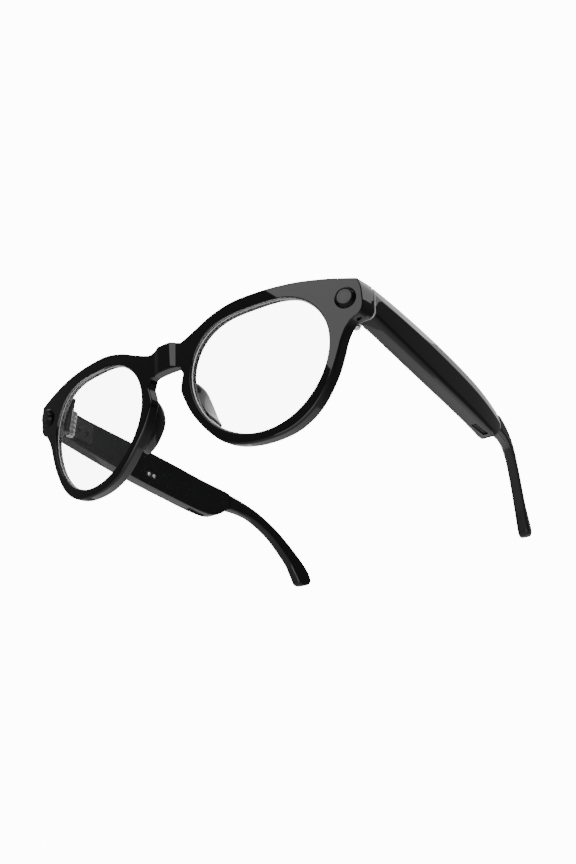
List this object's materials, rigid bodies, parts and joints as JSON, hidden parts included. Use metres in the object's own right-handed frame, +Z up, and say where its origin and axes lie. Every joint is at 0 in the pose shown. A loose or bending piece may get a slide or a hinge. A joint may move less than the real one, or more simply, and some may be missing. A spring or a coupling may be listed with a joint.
{
  "type": "smart glasses",
  "caption": "Black full-rim smart glasses with clear lenses, a keyhole bridge, round camera and light bezels, and thick folding temples that hold the electronics.",
  "frame": {"origin": "on the symmetry plane, on the front face, at the height of the lens centres", "axes": "+X to the wearer's left, +Y back along the temples, +Z up"},
  "size_m": [0.1424, 0.1504, 0.0486],
  "materials": {
    "frame_black": "polished black cellulose plastic",
    "pad_black": "polished black plastic nose pad",
    "lens_clear": "clear lens with a thin anti-reflection coat",
    "bezel_black": "polished black trim ring",
    "window_dark": "dark tinted window",
    "sensor_dark": "black moulded camera housing",
    "board_green": "circuit board with solder mask",
    "flex_amber": "polyimide ribbon",
    "mic_metal": "stamped can",
    "hinge_metal": "nickel plated, satin",
    "screw_metal": "bright plated",
    "temple_black": "polished black moulded plastic",
    "cover_black": "polished black inner cover",
    "battery_wrap": "pouch cell in blue film",
    "speaker_black": "black moulded driver box",
    "grille_black": "fine moulded slots",
    "core_steel": "flat spring steel",
    "contact_metal": "plated contact pads",
    "button_black": "satin black key"
  },
  "bodies": {
    "front": {"front_frame": "frame_black", "left_lens": "lens_clear", "right_lens": "lens_clear", "left_nose_pad": "pad_black", "right_nose_pad": "pad_black", "camera_bezel": "bezel_black", "camera_window": "window_dark", "camera_module": "sensor_dark", "indicator_bezel": "bezel_black", "indicator_window": "window_dark", "indicator_board": "board_green", "front_flex": "flex_amber", "left_microphone": "mic_metal", "right_microphone": "mic_metal", "left_hinge_front": "hinge_metal", "right_hinge_front": "hinge_metal", "left_hinge_pin": "screw_metal", "right_hinge_pin": "screw_metal", "left_front_screws": "screw_metal", "right_front_screws": "screw_metal"},
    "left_temple": {"left_temple_shell": "temple_black", "left_temple_cover": "cover_black", "left_hinge_rear": "hinge_metal", "left_rear_screws": "screw_metal", "left_battery": "battery_wrap", "left_board": "board_green", "left_speaker": "speaker_black", "left_speaker_grille": "grille_black", "left_tip_core": "core_steel"},
    "right_temple": {"right_temple_shell": "temple_black", "right_temple_cover": "cover_black", "right_hinge_rear": "hinge_metal", "right_rear_screws": "screw_metal", "right_battery": "battery_wrap", "main_board": "board_green", "right_speaker": "speaker_black", "right_speaker_grille": "grille_black", "right_tip_core": "core_steel", "touch_sensor": "flex_amber", "contact_carrier": "cover_black", "charging_contacts": "contact_metal"},
    "power_switch": {"power_switch": "button_black"},
    "capture_button": {"capture_button": "button_black"}
  },
  "joints": [
    {"name": "left_temple_fold", "type": "hinge", "parent": "front", "child": "left_temple", "pos_m": [0.0632, 0.0156, 0.015], "axis": [0, 0, 1], "range_deg": [0, 86]},
    {"name": "right_temple_fold", "type": "hinge", "parent": "front", "child": "right_temple", "pos_m": [-0.0632, 0.0156, 0.015], "axis": [0, 0, -1], "range_deg": [0, 74]},
    {"name": "power_switch_slide", "type": "slide", "parent": "left_temple", "child": "power_switch", "axis": [0, 1, 0], "range_m": [0, 0.002]},
    {"name": "capture_button_press", "type": "slide", "parent": "right_temple", "child": "capture_button", "axis": [0, 0, -1], "range_m": [0, 0.0004], "stiffness_N_per_m": 600, "springref_m": -0.0002}
  ]
}
